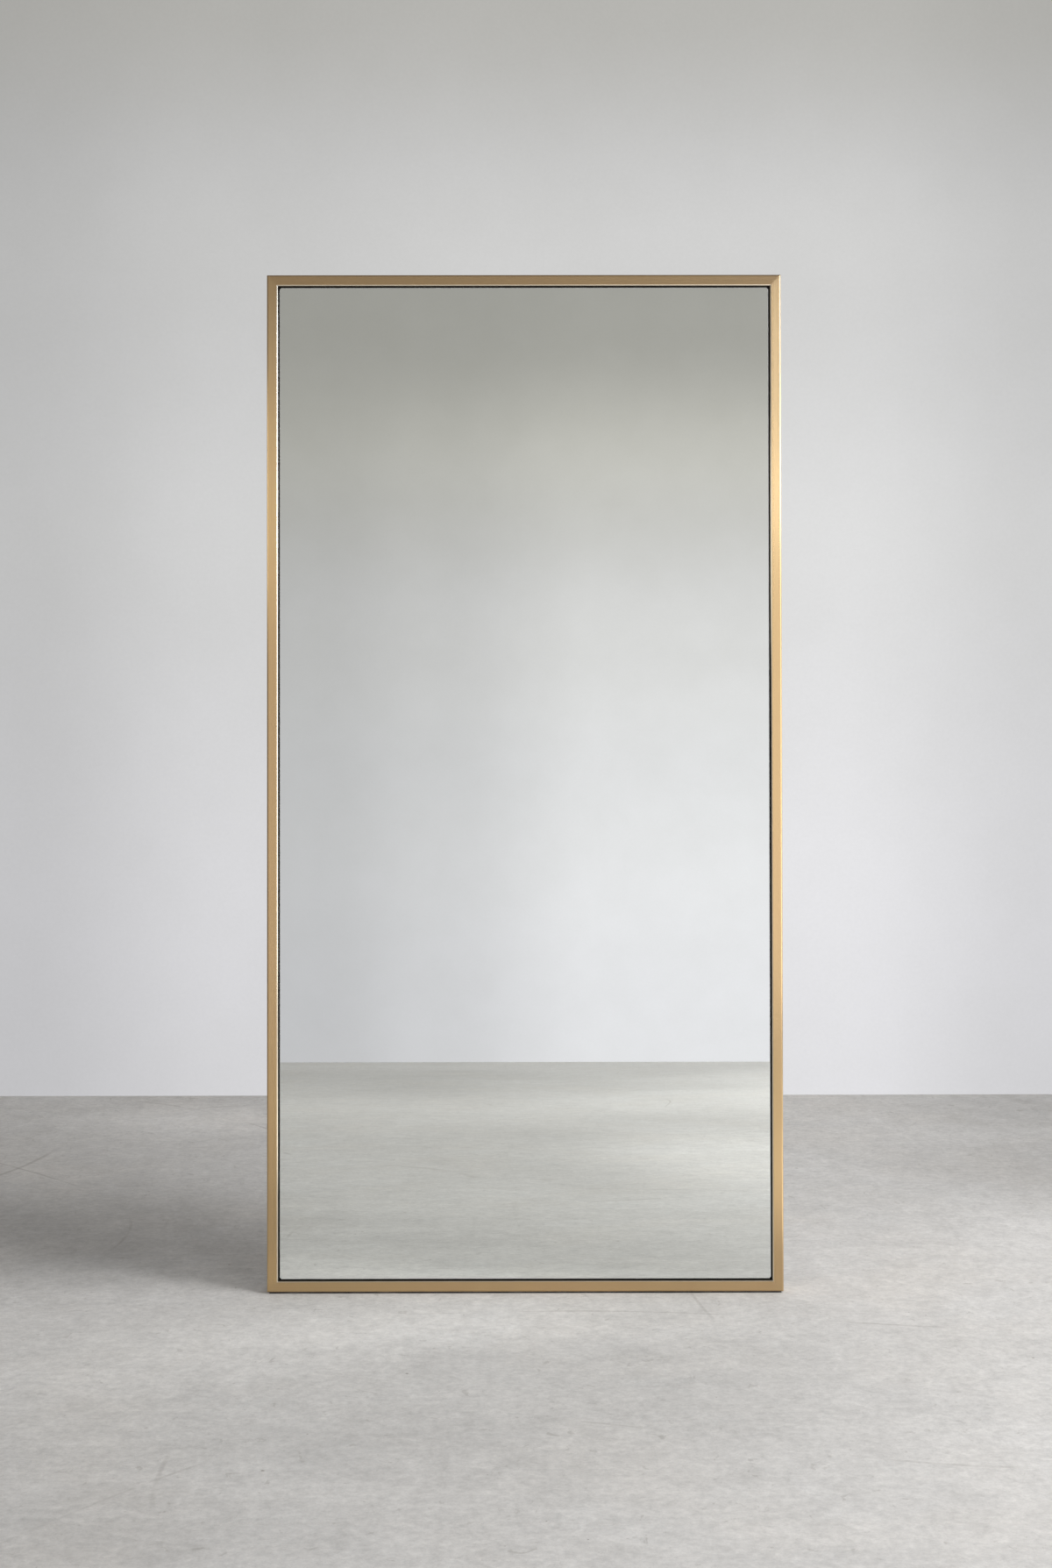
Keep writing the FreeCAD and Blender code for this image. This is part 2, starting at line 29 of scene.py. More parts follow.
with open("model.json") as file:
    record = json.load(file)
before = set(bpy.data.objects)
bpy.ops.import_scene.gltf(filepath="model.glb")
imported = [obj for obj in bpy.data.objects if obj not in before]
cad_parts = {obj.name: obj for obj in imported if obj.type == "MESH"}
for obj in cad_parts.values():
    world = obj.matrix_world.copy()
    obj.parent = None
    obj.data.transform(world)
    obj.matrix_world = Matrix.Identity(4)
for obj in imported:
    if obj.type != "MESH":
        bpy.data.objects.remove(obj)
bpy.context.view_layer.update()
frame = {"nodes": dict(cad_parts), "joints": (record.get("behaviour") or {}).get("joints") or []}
print("stage: frame loaded,", len(frame["nodes"]), "nodes")

degree = math.pi / 180
millimetre = 0.001

# How the mirror stands, as turns about X: the frame leans back, and the stand the other way
frameLean = -4 * degree
standLean = 7.5 * degree

# A noise texture hardly goes past these values
noiseRange = (0.3, 0.7)


# Small helpers for node trees

def addNode(tree, kind, place, **settings):
    node = tree.nodes.new(kind)
    node.location = place
    for name, value in settings.items():
        setattr(node, name, value)
    return node


def setInputs(node, values):
    # Each input gets a plain value or reads another node's output
    for name, value in values.items():
        if isinstance(value, bpy.types.NodeSocket):
            node.id_data.links.new(value, node.inputs[name])
        else:
            node.inputs[name].default_value = value


def maths(tree, place, operation, *values):
    node = addNode(tree, "ShaderNodeMath", place, operation=operation)
    setInputs(node, dict(enumerate(values)))
    return node.outputs["Value"]


def vectorMaths(tree, place, operation, *values):
    # A single number serves for all three channels
    node = addNode(tree, "ShaderNodeVectorMath", place, operation=operation)
    channels = [(value,) * 3 if isinstance(value, float) else value for value in values]
    setInputs(node, dict(enumerate(channels)))
    return node.outputs["Value" if operation in ("DOT_PRODUCT", "LENGTH") else "Vector"]


def mapValue(tree, place, value, low, high, fromLow=0.0, fromHigh=1.0, curve="LINEAR"):
    ramp = addNode(tree, "ShaderNodeMapRange", place, interpolation_type=curve)
    setInputs(ramp, {"Value": value, "From Min": fromLow, "From Max": fromHigh,
                     "To Min": low, "To Max": high})
    return ramp.outputs["Result"]


def mixColours(tree, place, factor, first, second):
    mix = addNode(tree, "ShaderNodeMix", place, data_type="RGBA")
    setInputs(mix, {"Factor": factor, "A": first, "B": second})
    return mix.outputs["Result"]


def mixShaders(tree, place, factor, first, second):
    mix = addNode(tree, "ShaderNodeMixShader", place)
    setInputs(mix, {"Fac": factor, 1: first, 2: second})
    return mix.outputs["Shader"]


def noise(tree, place, vector, scale, detail, roughness, distortion=0.0):
    # Scale is how many features there are to the metre
    texture = addNode(tree, "ShaderNodeTexNoise", place)
    setInputs(texture, {"Vector": vector, "Scale": scale, "Detail": detail, "Roughness": roughness,
                        "Distortion": distortion})
    return texture.outputs["Fac"]


def objectCoordinate(tree, place, turn=(0, 0, 0), centre=(0, 0, 0)):
    # Object coordinates, from a centre and turned so that a pattern follows a leaning piece
    x, y = place
    coordinate = addNode(tree, "ShaderNodeTexCoord", (x - 400, y))
    mapping = addNode(tree, "ShaderNodeMapping", (x - 200, y), vector_type="TEXTURE")
    setInputs(mapping, {"Vector": coordinate.outputs["Object"], "Rotation": turn, "Location": centre})
    return mapping.outputs["Vector"]


def surfaceNormal(tree, place):
    return addNode(tree, "ShaderNodeNewGeometry", place).outputs["Normal"]


def addBump(tree, shader, height, strength, distance):
    bump = addNode(tree, "ShaderNodeBump", (-250, -400))
    setInputs(bump, {"Height": height, "Strength": strength, "Distance": distance})
    setInputs(shader, {"Normal": bump.outputs["Normal"]})


def startMaterial(name):
    material = bpy.data.materials.new(name)
    material.use_nodes = True
    tree = material.node_tree
    return material, tree, tree.nodes["Principled BSDF"]


def startGroup(name, inputs, output):
    # A shared effect: it reads a vector and a few values, and puts out one number
    group = bpy.data.node_groups.new(name, "ShaderNodeTree")
    group.interface.new_socket("Vector", in_out="INPUT", socket_type="NodeSocketVector")
    for label, (kind, value) in inputs.items():
        socket = group.interface.new_socket(label, in_out="INPUT", socket_type=kind)
        socket.default_value = value
    group.interface.new_socket(output, in_out="OUTPUT", socket_type="NodeSocketFloat")
    return group, addNode(group, "NodeGroupInput", (-900, 0)), addNode(group, "NodeGroupOutput", (700, 0))


def placeGroup(tree, group, place, vector, values):
    node = addNode(tree, "ShaderNodeGroup", place, node_tree=group)
    setInputs(node, {"Vector": vector, **values})
    return node.outputs[0]


# Shared effects

def makeGrainGroup():
    # Fine parallel lines left by a brushing belt. Stretch is their number to the metre along each axis.
    group, into, out = startGroup("brushedGrain", {"Stretch": ("NodeSocketVector", (1, 1, 1))}, "Grain")
    stretched = vectorMaths(group, (-650, 0), "MULTIPLY", into.outputs["Vector"], into.outputs["Stretch"])
    lines = noise(group, (-400, 0), stretched, 1.0, 3.0, 0.55)
    setInputs(out, {"Grain": mapValue(group, (-100, 0), lines, 0, 1, *noiseRange)})
    return group


def makeSmudgeGroup():
    # Broad uneven patches from handling and cleaning, from 0 to 1. More cover lets more of the noise through.
    sizes = {"Size": ("NodeSocketFloat", 8.0), "Cover": ("NodeSocketFloat", 0.5)}
    group, into, out = startGroup("smudges", sizes, "Mask")
    patches = noise(group, (-500, 0), into.outputs["Vector"], into.outputs["Size"], 5.0, 0.6, 0.4)
    fullCover, fade = 0.8, 0.3
    edge = maths(group, (-500, -250), "SUBTRACT", fullCover, into.outputs["Cover"])
    top = maths(group, (-300, -250), "ADD", edge, fade)
    setInputs(out, {"Mask": mapValue(group, (-100, 0), patches, 0, 1, edge, top, "SMOOTHSTEP")})
    return group


def makeMouldGroup():
    # The fine spark-eroded texture of moulded plastic and rubber
    group, into, out = startGroup("mouldTexture", {"Size": ("NodeSocketFloat", 1500.0)}, "Height")
    vector, size = into.outputs["Vector"], into.outputs["Size"]
    cells = addNode(group, "ShaderNodeTexVoronoi", (-400, 150), feature="SMOOTH_F1")
    setInputs(cells, {"Vector": vector, "Scale": size, "Smoothness": 0.6})
    grain = noise(group, (-400, -150), vector, size, 2.0, 0.5)
    setInputs(out, {"Height": maths(group, (-100, 0), "ADD", cells.outputs["Distance"], grain)})
    return group


brushedGrain = makeGrainGroup()
smudges = makeSmudgeGroup()
mouldTexture = makeMouldGroup()


# Brass tone: brushed on the rails and plates, with a fine even peel on the stand
brass = {
    "light": (0.65, 0.450, 0.217, 1),
    "deep": (0.592, 0.399, 0.184, 1),
    "warm": (0.62, 0.408, 0.200, 1),
    "edge": (0.93, 0.83, 0.65, 1),    # painted highlight on a rail's rounded inner edge
    "paintedHighlightFrom": 0.12,    # how far the surface turns towards the glass there, from 0 to 1
    "paintedHighlightTo": 0.35,
    "paintedShade": (0.04, 0.027, 0.013, 1),    # past that edge, painted deep shade
    "paintedShadeFrom": 0.62,
    "paintedShadeTo": 0.85,
    "paintedShadeCoat": 0.2,
    "middleHeight": 0.905,    # the middle of the frame, in metres
    "bandMix": 0.3,
    "patches": {"Size": 3.5, "Cover": 0.45},
    "patchMix": 0.5,
    "roughSmooth": 0.27,
    "roughGrain": 0.295,
    "lacquerRough": 0.5,
    "railSpread": 1.0,    # how far the brushing spreads a highlight
    "plateSpread": 0.6,
    "bumpStrength": 0.012,
    "bumpDepth": 0.02 * millimetre,
    "linesPerMetre": 1300,
    "linesAlong": 1.3,
    "bandsPerMetre": 420,
    "bandsAlong": 0.7,
    "peelPerMetre": 1600,
    "cloudsPerMetre": 45,
}


def brushedTangent(tree, along, lean):
    # The highlight spreads across the brushing lines, so the tangent lies square to them on every face
    direction = Matrix.Rotation(lean, 3, "X") @ Vector([letter == along for letter in "xyz"])
    return vectorMaths(tree, (-500, -600), "CROSS_PRODUCT", surfaceNormal(tree, (-700, -600)), direction)


def facingInward(tree, along, lean):
    # How far a rail's surface turns towards the glass, as a mask for the painted highlight on its edge and
    # one for its painted shade
    outward = (1, 0, 0) if along == "z" else (0, -math.sin(lean), math.cos(lean))
    centred = objectCoordinate(tree, (-1100, 700), centre=(0, 0, brass["middleHeight"]))
    turned = vectorMaths(tree, (-900, 900), "DOT_PRODUCT", surfaceNormal(tree, (-1300, 900)), outward)
    reach = vectorMaths(tree, (-900, 700), "DOT_PRODUCT", centred, outward)
    side = maths(tree, (-700, 700), "SIGN", reach)
    turned = maths(tree, (-550, 850), "MULTIPLY", turned, side)
    edge = mapValue(tree, (-400, 1050), turned, 1, 0, -brass["paintedHighlightTo"], -brass["paintedHighlightFrom"])
    paintedShade = mapValue(tree, (-400, 850), turned, 1, 0, -brass["paintedShadeTo"], -brass["paintedShadeFrom"])
    return edge, paintedShade


def makeBrass(name, along, lean, spread, isRail):
    # Brushed along one axis, or with an even peel where no axis is given
    material, tree, shader = startMaterial(name)
    vector = objectCoordinate(tree, (-1100, 0), turn=(lean, 0, 0))
    fine = [brass["linesPerMetre" if along else "peelPerMetre"]] * 3
    wide = [brass["bandsPerMetre" if along else "cloudsPerMetre"]] * 3
    if along:
        fine["xyz".index(along)] = brass["linesAlong"]
        wide["xyz".index(along)] = brass["bandsAlong"]
        setInputs(shader, {"Tangent": brushedTangent(tree, along, lean)})
    grain = placeGroup(tree, brushedGrain, (-800, 250), vector, {"Stretch": fine})
    bands = placeGroup(tree, brushedGrain, (-800, 0), vector, {"Stretch": wide})
    patches = placeGroup(tree, smudges, (-800, -250), vector, brass["patches"])
    banding = mapValue(tree, (-550, 50), bands, 0, brass["bandMix"])
    handled = mapValue(tree, (-550, -200), patches, 0, brass["patchMix"])
    toned = mixColours(tree, (-550, 300), grain, brass["deep"], brass["light"])
    toned = mixColours(tree, (-350, 300), banding, toned, brass["deep"])
    toned = mixColours(tree, (-200, 300), handled, toned, brass["warm"])
    coat = 1.0
    if isRail:
        edge, paintedShade = facingInward(tree, along, lean)
        # A painted highlight on the rail's rounded inner edge
        toned = mixColours(tree, (-150, 500), edge, toned, brass["edge"])
        # Painted deep shade past that edge towards the glass, where the coat is thinned too
        toned = mixColours(tree, (-50, 500), paintedShade, toned, brass["paintedShade"])
        coat = mapValue(tree, (-100, 700), paintedShade, 1, brass["paintedShadeCoat"])
    rough = mapValue(tree, (-350, -50), bands, brass["roughSmooth"], brass["roughGrain"])
    setInputs(shader, {"Base Color": toned, "Metallic": 1.0, "Roughness": rough, "Anisotropic": spread,
                       "Coat Weight": coat, "Coat Roughness": brass["lacquerRough"]})
    addBump(tree, shader, grain, brass["bumpStrength"], brass["bumpDepth"])
    return material


railBrassUpright = makeBrass("brass upright rails", "z", frameLean, brass["railSpread"], True)
railBrassLevel = makeBrass("brass level rails", "x", frameLean, brass["railSpread"], True)
plateBrass = makeBrass("brass plates", "z", frameLean, brass["plateSpread"], False)
standBrass = makeBrass("brass stand", "", standLean, 0.0, False)
print("stage: brass made")

# Silvered glass: a clear mirror in front, and ground pale edges
glass = {
    "silver": (0.865, 0.885, 0.86, 1),
    "silverRough": 0.008,
    "wiped": (0.85, 0.87, 0.845, 1),
    "wipes": {"Size": 2.2, "Cover": 0.5},
    "groundEdge": (0.93, 0.95, 0.93, 1),
    "groundRough": 0.35,
    "faceLow": 0.93,    # how squarely a surface faces forward where the mirror takes over from the edge
    "faceHigh": 0.97,
}


def makeMirror():
    material, tree, shader = startMaterial("silvered glass")
    forward = (0, -math.cos(frameLean), -math.sin(frameLean))
    facing = vectorMaths(tree, (-900, 0), "DOT_PRODUCT", surfaceNormal(tree, (-1100, 0)), forward)
    face = mapValue(tree, (-700, 0), facing, 0, 1, glass["faceLow"], glass["faceHigh"])
    wiped = placeGroup(tree, smudges, (-650, -300), objectCoordinate(tree, (-900, -300)), glass["wipes"])
    film = mixColours(tree, (-450, 300), wiped, glass["silver"], glass["wiped"])
    colour = mixColours(tree, (-250, 300), face, glass["groundEdge"], film)
    rough = mapValue(tree, (-450, -50), face, glass["groundRough"], glass["silverRough"])
    setInputs(shader, {"Base Color": colour, "Metallic": face, "Roughness": rough})
    return material


mirrorSilver = makeMirror()
print("stage: mirror made")

# Moulded plastic, rubber and foam: their colour, the colour where they are worn, their roughness,
# and how fine and strong their texture is
moulded = {
    "black plastic": {"colour": (0.022, 0.022, 0.024, 1), "worn": (0.035, 0.035, 0.037, 1), "rough": 0.5,
                      "texturePerMetre": 1800, "texture": 0.35},
    "black rubber": {"colour": (0.018, 0.018, 0.018, 1), "worn": (0.06, 0.058, 0.055, 1), "rough": 0.78,
                     "texturePerMetre": 900, "texture": 0.3},
    "black foam": {"colour": (0.02, 0.02, 0.02, 1), "worn": (0.03, 0.03, 0.03, 1), "rough": 0.9,
                   "texturePerMetre": 600, "texture": 0.6},
}
moulding = {
    "wear": {"Size": 35.0, "Cover": 0.4},
    "wornSmoother": 0.12,
    "textureDepth": 0.05 * millimetre,
}


def makeMoulded(name):
    finish = moulded[name]
    material, tree, shader = startMaterial(name)
    vector = objectCoordinate(tree, (-900, 0))
    worn = placeGroup(tree, smudges, (-650, 100), vector, moulding["wear"])
    texture = placeGroup(tree, mouldTexture, (-650, -300), vector, {"Size": finish["texturePerMetre"]})
    colour = mixColours(tree, (-300, 200), worn, finish["colour"], finish["worn"])
    rough = mapValue(tree, (-300, 0), worn, finish["rough"], finish["rough"] - moulding["wornSmoother"])
    setInputs(shader, {"Base Color": colour, "Roughness": rough})
    addBump(tree, shader, texture, finish["texture"], moulding["textureDepth"])
    return material


# Steels: their colour, the colour of their stains, their roughness, and their grain along each axis
steels = {
    "zinc plated steel": {"colour": (0.63, 0.64, 0.66, 1), "stain": (0.5, 0.51, 0.5, 1), "rough": 0.25,
                          "grain": (700, 700, 700)},
    "spring steel": {"colour": (0.36, 0.37, 0.4, 1), "stain": (0.28, 0.27, 0.27, 1), "rough": 0.3,
                     "grain": (60, 900, 900)},
    "black steel": {"colour": (0.06, 0.06, 0.065, 1), "stain": (0.1, 0.095, 0.09, 1), "rough": 0.35,
                    "grain": (500, 500, 500)},
}
steelwork = {
    "stains": {"Size": 60.0, "Cover": 0.45},
    "grainRougher": 0.15,
    "bumpStrength": 0.15,
    "bumpDepth": 0.02 * millimetre,
}


def makeSteel(name):
    finish = steels[name]
    material, tree, shader = startMaterial(name)
    vector = objectCoordinate(tree, (-900, 0), turn=(frameLean, 0, 0))
    grain = placeGroup(tree, brushedGrain, (-650, 150), vector, {"Stretch": finish["grain"]})
    stained = placeGroup(tree, smudges, (-650, -150), vector, steelwork["stains"])
    colour = mixColours(tree, (-300, 200), stained, finish["colour"], finish["stain"])
    rough = mapValue(tree, (-300, 0), grain, finish["rough"], finish["rough"] + steelwork["grainRougher"])
    setInputs(shader, {"Base Color": colour, "Metallic": 1.0, "Roughness": rough})
    addBump(tree, shader, grain, steelwork["bumpStrength"], steelwork["bumpDepth"])
    return material


blackPlastic = makeMoulded("black plastic")
blackRubber = makeMoulded("black rubber")
blackFoam = makeMoulded("black foam")
zincSteel = makeSteel("zinc plated steel")
springSteel = makeSteel("spring steel")
blackSteel = makeSteel("black steel")

# Black faced fibreboard, the whole back of the mirror
board = {
    "colour": (0.022, 0.021, 0.020, 1),
    "scuff": (0.044, 0.042, 0.039, 1),
    "fibres": (420, 6.0, 0.7, 0.8),    # to the metre, detail, roughness and distortion
    "fleckFrom": 0.45,
    "fleckTo": 0.75,
    "fleckMix": 0.5,
    "scuffs": {"Size": 4.0, "Cover": 0.42},
    "scuffMix": 0.35,
    "shine": 0.2,
    "roughLow": 0.55,
    "roughHigh": 0.8,
    "bumpStrength": 0.25,
    "bumpDepth": 0.1 * millimetre,
}


def makeBoard():
    material, tree, shader = startMaterial("black fibreboard")
    vector = objectCoordinate(tree, (-1000, 0), turn=(frameLean, 0, 0))
    fibres = noise(tree, (-700, -300), vector, *board["fibres"])
    scuffs = placeGroup(tree, smudges, (-700, 100), vector, board["scuffs"])
    flecks = mapValue(tree, (-500, -100), fibres, 0.0, board["fleckMix"],
                      board["fleckFrom"], board["fleckTo"])
    flecked = mixColours(tree, (-300, 100), flecks, board["colour"], board["scuff"])
    faded = mapValue(tree, (-450, 300), scuffs, 0.0, board["scuffMix"])
    colour = mixColours(tree, (-150, 200), faded, flecked, board["scuff"])
    rough = mapValue(tree, (-150, 0), fibres, board["roughLow"], board["roughHigh"])
    setInputs(shader, {"Base Color": colour, "Roughness": rough, "Specular IOR Level": board["shine"]})
    addBump(tree, shader, fibres, board["bumpStrength"], board["bumpDepth"])
    return material


blackBoard = makeBoard()

# Which finish each node has. A left and a right piece share the start of their names.
finishes = {
    "rail_left": railBrassUpright,
    "rail_right": railBrassUpright,
    "rail_top": railBrassLevel,
    "rail_bottom": railBrassLevel,
    "mirror_glass": mirrorSilver,
    "bond_tapes": blackFoam,
    "backing_panel": blackBoard,
    "setting_blocks": blackRubber,
    "spring_clips": springSteel,
    "corner_key": zincSteel,
    "corner_shim": zincSteel,
    "corner_set_screws": blackSteel,
    "slot_nuts": zincSteel,
    "slot_screws": blackSteel,
    "hinge_bracket": plateBrass,
    "pivot_bolt": zincSteel,
    "clamp_knob": blackPlastic,
    "knob_insert": zincSteel,
    "stand_cradle": blackPlastic,
    "tether_plate": plateBrass,
    "pivot_sleeve": zincSteel,
    "tube_cap": blackPlastic,
    "stand_foot": blackRubber,
    "stand_tube": standBrass,
    "saddle_washers": blackPlastic,
    "rubber_strip": blackRubber,
}


def finishNodes():
    for name, node in frame["nodes"].items():
        material = next(finishes[kind] for kind in finishes if name.startswith(kind))
        node.data.materials.clear()
        node.data.materials.append(material)


finishNodes()
print("stage: finishes on the frame's nodes")

sharpAngle = 35 * degree


# Small helpers for the modelled pieces, whose sizes are given in millimetres

def addDrum(mesh, lowRadius, highRadius, depth, middle, segments):
    # A closed cylinder or cone along Z
    bmesh.ops.create_cone(mesh, cap_ends=True, segments=segments, radius1=lowRadius * millimetre,
                          radius2=highRadius * millimetre, depth=depth * millimetre,
                          matrix=Matrix.Translation((0, 0, middle * millimetre)))


def roundEdges(mesh, edges, offset, segments):
    bmesh.ops.bevel(mesh, geom=edges, offset=offset * millimetre, segments=segments, profile=0.5,
                    affect="EDGES", material=-1)


def finishPiece(mesh, name, node, body, material):
    bmesh.ops.recalc_face_normals(mesh, faces=mesh.faces)
    data = bpy.data.meshes.new(name)
    mesh.to_mesh(data)
    mesh.free()
    data.shade_smooth()
    data.set_sharp_from_angle(angle=sharpAngle)
    data.materials.append(material)
    piece = bpy.data.objects.new(name, data)
    bpy.context.scene.collection.objects.link(piece)
    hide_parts(node)
    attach(piece, body)


# Moulded clamp knob, turned by hand on its bolt
knob = {
    "face": 419.4,    # how far from the mirror's middle its hub starts
    "hubHeight": 4.0,
    "hubRadius": 10.0,
    "hubTaper": 0.94,
    "hubPoints": 48,
    "height": 13.2,
    "radius": 18.0,
    "points": 96,
    "scallops": 6,
    "scallopDepth": 2.7,
    "scallopPower": 1.5,
    "waist": 0.8,
    "waistShares": (0.35, 0.65),
    "rimRound": 2.4,
    "rimSteps": 5,
    "capRadius": 9.0,
    "capHeight": 0.8,
    "capRound": 0.6,
    "capSteps": 3,
    "capPoints": 64,
}


def makeGrip(mesh):
    # A drum with two rings round it, drawn in at the rings and at each scallop
    height, nearRim = knob["height"] * millimetre, 0.1 * millimetre
    addDrum(mesh, knob["radius"], knob["radius"], knob["height"], knob["height"] / 2, knob["points"])
    for share in knob["waistShares"]:
        bmesh.ops.bisect_plane(mesh, geom=mesh.verts[:] + mesh.edges[:] + mesh.faces[:],
                               plane_co=(0, 0, share * height), plane_no=(0, 0, 1))
    rims = [vert for vert in mesh.verts if min(vert.co.z, height - vert.co.z) < nearRim]
    for vert in mesh.verts:
        around = knob["scallops"] * math.atan2(vert.co.x, vert.co.y)
        hollow = max(0.0, math.cos(around)) ** knob["scallopPower"]
        slim = 0 if vert in rims else knob["waist"]
        reach = 1 - (hollow * knob["scallopDepth"] + slim) / knob["radius"]
        vert.co.x *= reach
        vert.co.y *= reach
    rimEdges = [edge for edge in mesh.edges if all(vert in rims for vert in edge.verts)]
    roundEdges(mesh, rimEdges, knob["rimRound"], knob["rimSteps"])


def makeKnob(side, sign):
    mesh = bmesh.new()
    makeGrip(mesh)
    # The round cap in its end, half of it inside the grip
    capRadius, capHeight = knob["capRadius"], knob["capHeight"]
    addDrum(mesh, capRadius, capRadius, 2 * capHeight, knob["height"], knob["capPoints"])
    brim = (knob["height"] + capHeight / 2) * millimetre
    brimEdges = [edge for edge in mesh.edges if all(vert.co.z > brim for vert in edge.verts)]
    roundEdges(mesh, brimEdges, knob["capRound"], knob["capSteps"])
    # The hub under the grip, half of it inside too
    hubRadius, hubHeight = knob["hubRadius"], knob["hubHeight"]
    bmesh.ops.translate(mesh, verts=mesh.verts, vec=(0, 0, hubHeight * millimetre))
    addDrum(mesh, hubRadius * knob["hubTaper"], hubRadius, 2 * hubHeight, hubHeight, knob["hubPoints"])
    # On its bolt, with the hub towards the bracket
    axis = next(joint["pos_m"] for joint in frame["joints"] if joint["child"] == "knob_" + side)
    turn = Matrix.Rotation(-sign * math.pi / 2, 4, "Y")
    away = Matrix.Translation((sign * knob["face"] * millimetre, axis[1], axis[2]))
    bmesh.ops.transform(mesh, matrix=away @ turn, verts=mesh.verts)
    node, body = "clamp_knob_" + side, "knob_" + side
    finishPiece(mesh, "clampGrip_" + side, node, body, blackPlastic)


# Ribbed rubber sleeve, moulded round the stand's cross tube with a flat sole
sleeve = {
    "start": 263.0,    # how far from the mirror's middle it starts
    "length": 72.0,
    "middle": (150.84, 14.5),    # the tube's place, in Y and Z
    "radius": 14.5,
    "soleHalf": 10.2,
    "bore": 10.9,
    "boreInset": 0.5,
    "endRound": 1.4,
    "endStep": 0.4,
    "plainEnd": 8.0,
    "ribs": 9,
    "grooveShare": 0.3,
    "grooveDepth": 1.1,
    "shoulder": (0.35, 0.25),    # of a groove, along and across
    "points": 72,
}


def sleeveSteps():
    # How far along and how wide each ring of the sleeve is
    length, radius = sleeve["length"], sleeve["radius"]
    end, step = sleeve["endRound"], sleeve["endStep"]
    low = radius - sleeve["grooveDepth"]
    along, across = sleeve["shoulder"]
    wall = along + across
    pitch = (length - 2 * sleeve["plainEnd"]) / sleeve["ribs"]
    steps = [(0.0, radius - end), (step, radius - step), (end, radius)]
    for rib in range(sleeve["ribs"]):
        down = sleeve["plainEnd"] + rib * pitch
        up = down + sleeve["grooveShare"] * pitch
        steps += [(down, radius), (down + along, radius - across), (down + wall, low)]
        steps += [(up, low), (up + across, radius - across), (up + wall, radius)]
    return steps + [(length - end, radius), (length - step, radius - step), (length, radius - end)]


def placeRing(verts, along, wide):
    # A circle with a flat sole, still in millimetres. The bore stays round.
    for vert in verts:
        angle = math.atan2(vert.co.z, vert.co.y)
        level = wide * math.sin(angle)
        flat = wide > sleeve["bore"] and level < 0 and abs(wide * math.cos(angle)) < sleeve["soleHalf"]
        vert.co = (along, wide * math.cos(angle), -wide if flat else level)


def makeSleeve(side, sign):
    mesh = bmesh.new()
    bore, inset = sleeve["bore"], sleeve["boreInset"]
    upright = Matrix.Rotation(math.pi / 2, 4, "Y")
    bmesh.ops.create_circle(mesh, segments=sleeve["points"], radius=bore, matrix=upright)
    placeRing(mesh.verts, inset, bore)
    # Each ring grows from the last: out of one end of the bore, over the outside and into its other end
    edges = mesh.edges[:]
    for along, wide in sleeveSteps() + [(sleeve["length"] - inset, bore)]:
        grown = bmesh.ops.extrude_edge_only(mesh, edges=edges)["geom"]
        edges = [part for part in grown if isinstance(part, bmesh.types.BMEdge)]
        placeRing([part for part in grown if isinstance(part, bmesh.types.BMVert)], along, wide)
    bmesh.ops.bridge_loops(mesh, edges=[edge for edge in mesh.edges if edge.is_boundary])
    size = Matrix.Diagonal((sign * millimetre, millimetre, millimetre, 1))
    away = Matrix.Translation([v * millimetre for v in (sign * sleeve["start"], *sleeve["middle"])])
    bmesh.ops.transform(mesh, matrix=away @ size, verts=mesh.verts)
    finishPiece(mesh, "ribbedSleeve_" + side, "stand_foot_" + side, "stand", blackRubber)


for side, sign in (("left", -1), ("right", 1)):
    makeKnob(side, sign)
    makeSleeve(side, sign)
print("stage: knobs and sleeves made")

# The room: a concrete floor, the wall behind and the wall that the mirror shows, in metres.
# Each wall glows with painted light for the camera and in reflections. The painted light falls off with
# height and to the sides, as (metres, lightness) pairs, and its tone shifts with height, as (metres, colour)
# pairs.
room = {
    "halfWidth": 9.0,
    "wallBack": 1.583,
    "wallFront": -9.12,
    "backHeight": 6.0,
    "frontHeight": 9.0,
    "plaster": (0.80, 0.80, 0.80, 1),
    "plasterPale": (1.0, 1.0, 1.0, 1),
    "plasterDull": (0.965, 0.965, 0.96, 1),
    "patches": (3.5, 6.0, 0.65),    # to the metre, detail and roughness
    "grain": (110.0, 3.0, 0.7),
    "grainDepth": 0.035,
    "wallRough": 0.9,
    "wallShine": 0.2,
}
wallBehind = {
    "ambient": 0.32,
    "heights": [(0.0, 0.78), (0.5, 0.815), (1.35, 0.755), (2.1, 0.655), (2.8, 0.48), (6.0, 0.32)],
    "sides": [(-4.0, 0.30), (-1.3, 0.50), (-0.7, 0.78), (0.0, 0.95), (0.8, 1.0), (1.35, 0.74), (4.0, 0.5)],
    "paintedLightTones": [(0.3, (0.985, 0.982, 1.01)), (1.6, (1.0, 1.0, 1.0)), (2.3, (1.0, 0.998, 0.99)),
              (2.8, (1.0, 0.988, 0.94))],
}
wallAhead = {
    "ambient": 0.345,
    "heights": [(0.0, 0.94), (0.9, 0.96), (2.04, 0.885), (2.45, 0.835), (3.4, 0.68), (4.4, 0.44),
                (6.4, 0.15)],
    "sides": [(-9.0, -0.6), (-4.0, 0.2), (-1.2, 0.50), (-0.5, 0.66), (0.5, 0.97), (1.2, 1.0), (1.6, 1.0),
              (3.6, 2.0), (9.0, 1.7)],
    "paintedLightTones": [(0.3, (0.99, 0.98, 1.03)), (1.6, (1.0, 0.99, 1.025)), (2.6, (1.0, 0.985, 1.0)),
              (3.9, (1.0, 0.975, 0.92))],
}


def stagePlane(name, corners, material):
    mesh = bmesh.new()
    mesh.faces.new([mesh.verts.new(corner) for corner in corners])
    data = bpy.data.meshes.new(name)
    mesh.to_mesh(data)
    mesh.free()
    plane = bpy.data.objects.new(name, data)
    bpy.context.scene.collection.objects.link(plane)
    data.materials.append(material)


